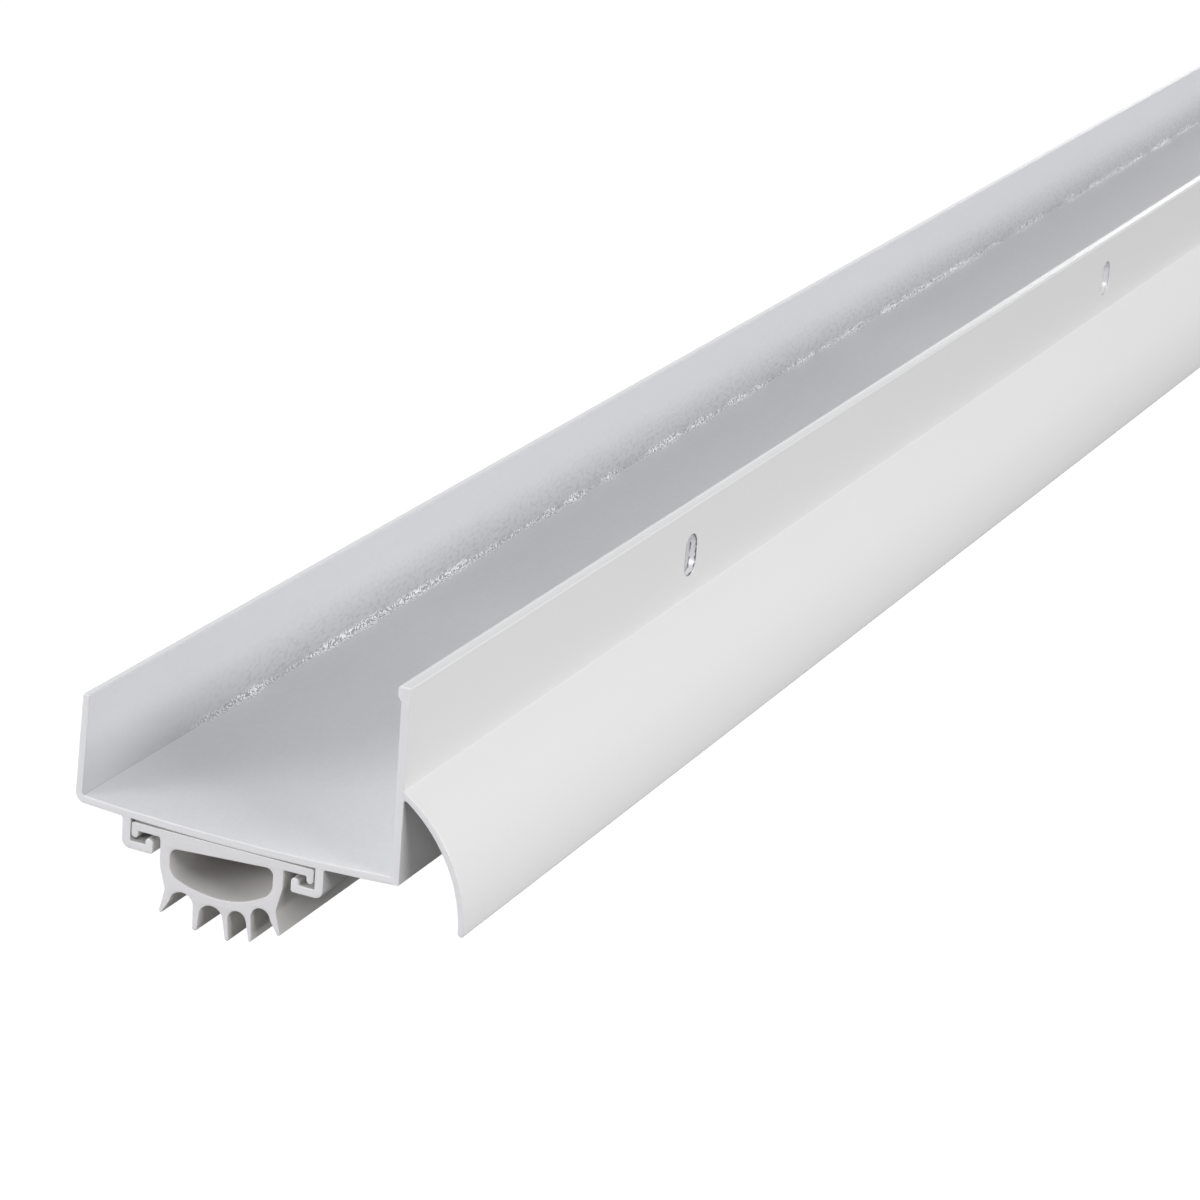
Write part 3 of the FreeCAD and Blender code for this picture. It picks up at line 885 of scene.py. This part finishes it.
def paint_finish(look, s):
    """White paint: smooth outside, grained in the pocket, beaded in its corners, cut at slots, with
    painted light and shade: a paler pocket floor and corner fill, darker flange insides, short
    flange top and slot rims, and glowing painted glints on the beads.
    """
    finish = Finish(bpy.data.materials.new("white_paint"))
    place = finish.node("ShaderNodeTexCoord", {}, {}, "Object")
    facing = finish.node("ShaderNodeNewGeometry", {}, {}, "Normal")
    x, y, z = finish.split(place)
    across, along, upward = finish.split(facing)
    inner = s.door_gap / 2
    floor = -s.web_bow - FILM
    end = s.seal_length / 2
    slot = (s.slot_height + s.slot_round) / 2
    first = end - s.slot_inset
    pitch = 2 * first / (s.slot_count - 1)

    at_end = abs(y).above(end - MM, end - 0.5 * MM)
    sawn = abs(along).above(*FACING_END) * at_end
    inside = 1 - abs(x).above(inner + HAIR, inner + 0.3 * MM)
    pocket = inside * z.above(floor - FILM, floor)
    reach = ((abs(x) - inner) ** 2.0 + z ** 2.0) ** 0.5
    # 1 away from the sawn ends and 0 next to them: the corner's beads, painted glints and painted
    # shade, and the dust with its painted fill light, all fade out towards the ends
    away_from_ends = 1 - abs(y).above(end - look.clear_run, end - CLEAR_PART * look.clear_run)
    patches = finish.noise(place, look.patch_run, 1.0).above(*PATCHY)
    spread = look.corner_run * (REACH_LEAST + REACH_MORE * patches)
    corner = pocket * away_from_ends * (1 - reach.above(REACH_FULL * spread, spread))
    # Dust and painted fill light: a band above the corner, rough with paint dust, painted paler as
    # fill light and dotted with painted shade
    dust_and_fill = pocket * away_from_ends * z.above(0, look.corner_run)
    dust_and_fill = dust_and_fill * (1 - z.above(look.corner_run, look.dust_and_fill_run))
    # Painted shade on the short flange's top: there it takes the darker paint of the flanges'
    # insides
    top_shade = z.above(s.short_height - MM, s.short_height) * upward.above(*FACING_UP)
    punched = x.above(0, inner) * (1 - abs(across).above(*FACING_FLANGE)) * (1 - at_end)
    punched = punched * (1 - abs(z - s.slot_level).above(slot, slot + HAIR))

    grain = finish.noise(finish.stretch(place, GRAIN_STRETCH), look.grain_run)
    peel = finish.noise(place, look.peel_run, 1.0)
    specks = finish.noise(place, look.grain_run / 2, 0.0)
    beaded = corner * (BEADS_LEAST + BEADS_MORE * patches)
    # Painted glints and shade in the corner: the beads of paint are painted white and glow, the
    # specks between them are painted dark
    beads = beaded * specks.above(*BEADED)
    speck_shade = beaded * (1 - specks.above(*SPECK_SHADE))
    # Painted shade at the slots' rims: the punched walls are bare metal, painted dark near both
    # faces
    cut = (x - inner) / s.tall_wall + RIM_SHADE_RAGGED * (grain - 0.5)
    torn = 1 - cut.above(*RIM_SHADE_FROM) * (1 - cut.above(*RIM_SHADE_UNTIL))
    # The painted shade at the slots' rims is strong at every other slot and faint at the rest
    rim_shade_share = RIM_SHADE_MEAN + RIM_SHADE_SWING * ((y + first) * (math.pi / pitch)).cosine()

    wall = abs(across).above(*FACING_SIDE)
    # Painted shade low on the flanges' insides, full near the floor and fading out higher up
    low_shade_gone = z.above(LOW_SHADE_FADES * look.dust_and_fill_run, LOW_SHADE_ENDS * look.dust_and_fill_run)
    low_shade = pocket * wall * (1 - low_shade_gone)
    # Lit and shaded copies of one paint: the pocket's floor paler as painted light, the flanges'
    # insides darker as painted shade
    tint = finish.blend(pocket, look.face, finish.blend(wall, look.pocket, look.inner))
    shade = [PAINT_SHADE * part for part in look.inner]
    # Painted shade in dots of the grain, where the dust lies
    dot_shade = 1 - grain.above(*DOTTED)
    # Painted fill light: the paint near the corner is paler
    tint = finish.blend(FILL_LIGHT_COVER * dust_and_fill, tint, look.pocket)
    # Painted shade low on the flanges' insides
    tint = finish.blend(LOW_SHADE_COVER * low_shade, tint, shade)
    grained = pocket * (1 - grain) * GRAIN_COVER
    # The pocket's grain, with painted shade in the dust's dots and in the specks between the
    # corner's beads
    tint = finish.blend(grained + DOT_SHADE_COVER * dot_shade * dust_and_fill + speck_shade, tint, shade)
    # Painted glints: the beads are painted white
    tint = finish.blend(beads, tint, look.glint_white)
    # Painted shade: the short flange's top is darkened towards the flanges' inside paint
    tint = finish.blend(TOP_SHADE_COVER * top_shade, tint, look.inner)
    # Sawn ends: painted paler as light
    tint = finish.blend(sawn, tint, look.sawn)
    # The slots' punched walls: bare metal, with painted shade at their rims
    tint = finish.blend(punched, tint, finish.blend(torn * rim_shade_share, look.bare, look.torn))
    rise = OPEN_GRAIN + POCKET_GRAIN * pocket + DUST_GRAIN * dust_and_fill
    height = look.grain_height * grain * rise
    height = height + look.peel_height * peel + BEAD_HEIGHT * beads
    rough = look.gloss + (look.pocket_gloss - look.gloss) * pocket
    rough = rough - BEAD_SMOOTHER * beads + SAWN_ROUGHER * sawn + PUNCHED_ROUGHER * punched
    # Painted glints: the beads glow white, though no lamp lights them
    glints = finish.blend(beads, (0, 0, 0), look.glint_white)
    return finish.surface(
        base_color=tint,
        roughness=rough,
        metallic=PUNCHED_METAL * punched,
        normal=finish.bump(height),
        emission_color=glints,
        emission_strength=look.glint,
    )


def vinyl_finish(look):
    """Soft white vinyl with the fine lines of its die along it, and its cut ends painted paler and
    bluer as light.
    """
    finish = Finish(bpy.data.materials.new("white_vinyl"))
    place = finish.node("ShaderNodeTexCoord", {}, {}, "Object")
    facing = finish.node("ShaderNodeNewGeometry", {}, {}, "Normal")
    cut = abs(finish.split(facing)[1]).above(*FACING_END)
    streaks = finish.noise(finish.stretch(place, LINE_STRETCH), look.streak_run)
    mottle = finish.noise(place, MOTTLE_RUN * look.streak_run)
    shade = [VINYL_SHADE * part for part in look.skin]
    skin = finish.blend(mottle * MOTTLE_COVER, look.skin, shade)
    # Cut ends: rougher, and painted paler as light
    tint = finish.blend(cut, skin, look.cut)
    return finish.surface(
        base_color=tint,
        roughness=look.gloss + CUT_ROUGHER * cut,
        normal=finish.bump(look.streak_height * streaks),
        subsurface_weight=look.glow,
        subsurface_radius=(1.0, 1.0, 1.0),
        subsurface_scale=GLOW_DEPTH,
    )


class SEAL_OT_channel(bpy.types.Operator):
    """Make the painted channel: flanges, bowed floor, drip cap, tracks and screw slots"""

    bl_idname = "door_seal.channel"
    bl_label = "Make the channel"

    def execute(self, context):
        settings = context.scene.door_seal
        s = settings.channel
        section = channel_section(s)
        inner = s.door_gap / 2
        low = s.slot_level - s.slot_height / 2 - s.slot_round
        high = s.slot_level + s.slot_height / 2 + s.slot_round

        def slotted(quad):
            places = [vert.co for vert in quad]
            heights = [place.z for place in places]
            on_flange = all(
                inner - TOUCHING < place.x < inner + s.tall_wall + TOUCHING for place in places
            )
            long = abs(places[0].y - places[2].y) > s.seal_length / 2
            return on_flange and long and min(heights) < low and max(heights) > high

        bm = bmesh.new()
        ends = end_stations(s.seal_length / 2, s.sawn_round)
        stations = ends + [(-y, depth) for y, depth in reversed(ends)]
        opened = sweep(bm, lambda y, depth: [inset(section, depth)], stations, slotted)
        pierce(bm, s, opened)
        make_object(
            "painted_channel", bm, paint_finish(settings.paint, s), "door_channel"
        )
        return {"FINISHED"}


class SEAL_OT_insert(bpy.types.Operator):
    """Make the soft insert: barbed plate, hollow bulb and fins, as it has set in its tracks"""

    bl_idname = "door_seal.insert"
    bl_label = "Make the insert"

    def execute(self, context):
        settings = context.scene.door_seal
        c, s = settings.channel, settings.insert
        outline, hollow = insert_sections(c, s)

        def loops_at(y, depth):
            loops = [inset(outline, depth), inset(hollow, -depth)]
            return [[relax(point, y, c, s) for point in loop] for loop in loops]

        ends = end_stations(c.seal_length / 2, s.sawn_round)
        start = ends[-1][0]
        steps = math.ceil(2 * start / s.station_run)
        middle = [(start - 2 * start * step / steps, 0.0) for step in range(1, steps)]
        stations = ends + middle + [(-y, depth) for y, depth in reversed(ends)]
        bm = bmesh.new()
        sweep(bm, loops_at, stations)
        make_object("vinyl_insert", bm, vinyl_finish(settings.vinyl), "seal_insert")
        return {"FINISHED"}


# Stage

# Each lamp's place in metres, its width and height, and the setting that holds its watts
LAMPS = {
    "side_light": ((2.4, -0.3, 1.22), 2.6, 0.45, "side_power"),
    "low_light": ((2.5, -0.3, 0.55), 2.6, 0.3, "low_power"),
    "left_light": ((-2.4, 0.6, 1.0), 2.6, 1.0, "left_power"),
    "back_light": ((-0.5, 3.5, 0.5), 1.4, 0.5, "back_power"),
    "end_light": ((-2.3, -3.5, 0.8), 1.8, 0.6, "end_power"),
}
# How white the floor looks, and the grey that its soft shadow falls on
FLOOR_WHITE = 0.93
FLOOR_SOFT = (0.12, 0.12, 0.12, 1)
# Masks over the surround, for how far a direction points up or towards the drip cap
LIT_SIDES = (-0.3, 0.5)
LIT_ABOVE = (-0.05, 0.5)
GLEAM_ABOVE = (-0.02, 0.06)
GLEAM_ENDS = (-0.05, 0.1)
# How much less the surround shines on the drip cap's side
GLEAM_LOSS = 0.9
# The camera's sensor in millimetres, and the nearest and farthest that it sees in metres
SENSOR = 36
CLIP = (0.01, 100)


def lamp(name, place, width, height, watts):
    """A soft oblong light that faces the origin."""
    data = bpy.data.lights.new(name, "AREA")
    data.shape = "RECTANGLE"
    data.size = width
    data.size_y = height
    data.energy = watts
    made = bpy.data.objects.new(name, data)
    bpy.context.collection.objects.link(made)
    made.location = place
    made.rotation_euler = (-Vector(place)).to_track_quat("-Z", "Y").to_euler()


def floor_finish(grey):
    """A floor that looks white, keeps a soft shadow, and lights the seal as a grey one does."""
    finish = Finish(bpy.data.materials.new("floor"))
    seen = finish.rays("Is Camera Ray", "Is Transmission Ray")
    glow = finish.node("ShaderNodeEmission", {}, {"Color": WHITE, "Strength": FLOOR_WHITE})
    plain = finish.node("ShaderNodeBsdfDiffuse", {}, {"Color": (grey, grey, grey, 1)})
    soft = finish.node("ShaderNodeBsdfDiffuse", {}, {"Color": FLOOR_SOFT})
    pale = finish.node("ShaderNodeAddShader", {}, {0: glow, 1: soft})
    top = finish.node("ShaderNodeMixShader", {}, {0: seen, 1: plain, 2: pale})
    clear = finish.node("ShaderNodeBsdfTransparent", {}, {})
    below = finish.node("ShaderNodeNewGeometry", {}, {}, "Backfacing")
    sheet = finish.node("ShaderNodeMixShader", {}, {0: below, 1: top, 2: clear})
    finish.node("ShaderNodeOutputMaterial", {}, {"Surface": sheet})
    return finish.owner


def light_world(world, sky, ground):
    """A white surround, which lights the seal from both sides and shines on it from the left."""
    finish = Finish(world)
    seen = finish.rays("Is Camera Ray", "Is Transmission Ray")
    shine = finish.rays("Is Glossy Ray")
    direction = finish.node("ShaderNodeTexCoord", {}, {}, "Generated")
    across, _, height = finish.split(direction)
    sides = abs(across).above(*LIT_SIDES)
    light = ground + (sky - ground) * height.above(*LIT_ABOVE) * sides
    gleam = height.above(*GLEAM_ABOVE) * (1 - GLEAM_LOSS * across.above(*GLEAM_ENDS))
    light = shine * gleam + light * (1 - shine)
    light = seen + light * (1 - seen)
    back = finish.node("ShaderNodeBackground", {}, {"Color": WHITE, "Strength": light})
    finish.node("ShaderNodeOutputWorld", {}, {"Surface": back})


class SEAL_OT_stage(bpy.types.Operator):
    """Make the floor, the lights and the camera"""

    bl_idname = "door_seal.stage"
    bl_label = "Make the stage"

    def execute(self, context):
        look = context.scene.door_seal.stage
        bm = bmesh.new()
        bmesh.ops.create_grid(bm, x_segments=1, y_segments=1, size=look.floor_size / 2)
        mesh = bpy.data.meshes.new("floor")
        bm.to_mesh(mesh)
        bm.free()
        mesh.materials.append(floor_finish(look.floor_grey))
        floor = bpy.data.objects.new("floor", mesh)
        floor.location = (0, 0, CAD_BOX[0].z - look.floor_drop)
        context.collection.objects.link(floor)
        world = bpy.data.worlds.new("surround")
        context.scene.world = world
        light_world(world, look.sky, look.ground)
        for name, (place, width, height, watts) in LAMPS.items():
            lamp(name, place, width, height, getattr(look, watts))
        camera = bpy.data.cameras.new("photo_camera")
        camera.lens = look.lens
        camera.sensor_width = SENSOR
        camera.clip_start, camera.clip_end = CLIP
        eye = bpy.data.objects.new("photo_camera", camera)
        context.collection.objects.link(eye)
        turn = Matrix.Rotation(look.azimuth, 4, "Z")
        tilt = Matrix.Rotation(math.pi / 2 - look.elevation, 4, "X")
        roll = Matrix.Rotation(look.roll, 4, "Z")
        eye.matrix_world = Matrix.Translation(look.camera_place) @ turn @ tilt @ roll
        context.scene.camera = eye
        context.scene.view_settings.view_transform = "Standard"
        return {"FINISHED"}


class SEAL_PT_panel(bpy.types.Panel):
    """The seal's settings and the buttons that make its pieces"""

    bl_idname = "SEAL_PT_panel"
    bl_label = "Door bottom seal"
    bl_space_type = "VIEW_3D"
    bl_region_type = "UI"
    bl_category = "Door seal"

    def draw(self, context):
        settings = context.scene.door_seal
        groups = (
            (SEAL_OT_channel, (settings.channel, settings.paint)),
            (SEAL_OT_insert, (settings.insert, settings.vinyl)),
            (SEAL_OT_stage, (settings.stage,)),
        )
        for operator, parts in groups:
            box = self.layout.box()
            for part in parts:
                for name in part.__annotations__:
                    box.prop(part, name)
            box.operator(operator.bl_idname)


CLASSES = (
    ChannelSizes,
    InsertSizes,
    PaintLook,
    VinylLook,
    StageLook,
    SealSettings,
    SEAL_OT_channel,
    SEAL_OT_insert,
    SEAL_OT_stage,
    SEAL_PT_panel,
)


def register():
    """Makes the settings, the operators and the panel known to Blender."""
    for part in CLASSES:
        bpy.utils.register_class(part)
    bpy.types.Scene.door_seal = PointerProperty(type=SealSettings)


def unregister():
    """Takes them away again."""
    del bpy.types.Scene.door_seal
    for part in reversed(CLASSES):
        bpy.utils.unregister_class(part)


def main():
    """Makes the whole scene."""
    register()
    bpy.ops.door_seal.channel()
    bpy.ops.door_seal.insert()
    bpy.ops.door_seal.stage()


if __name__ == "__main__":
    main()
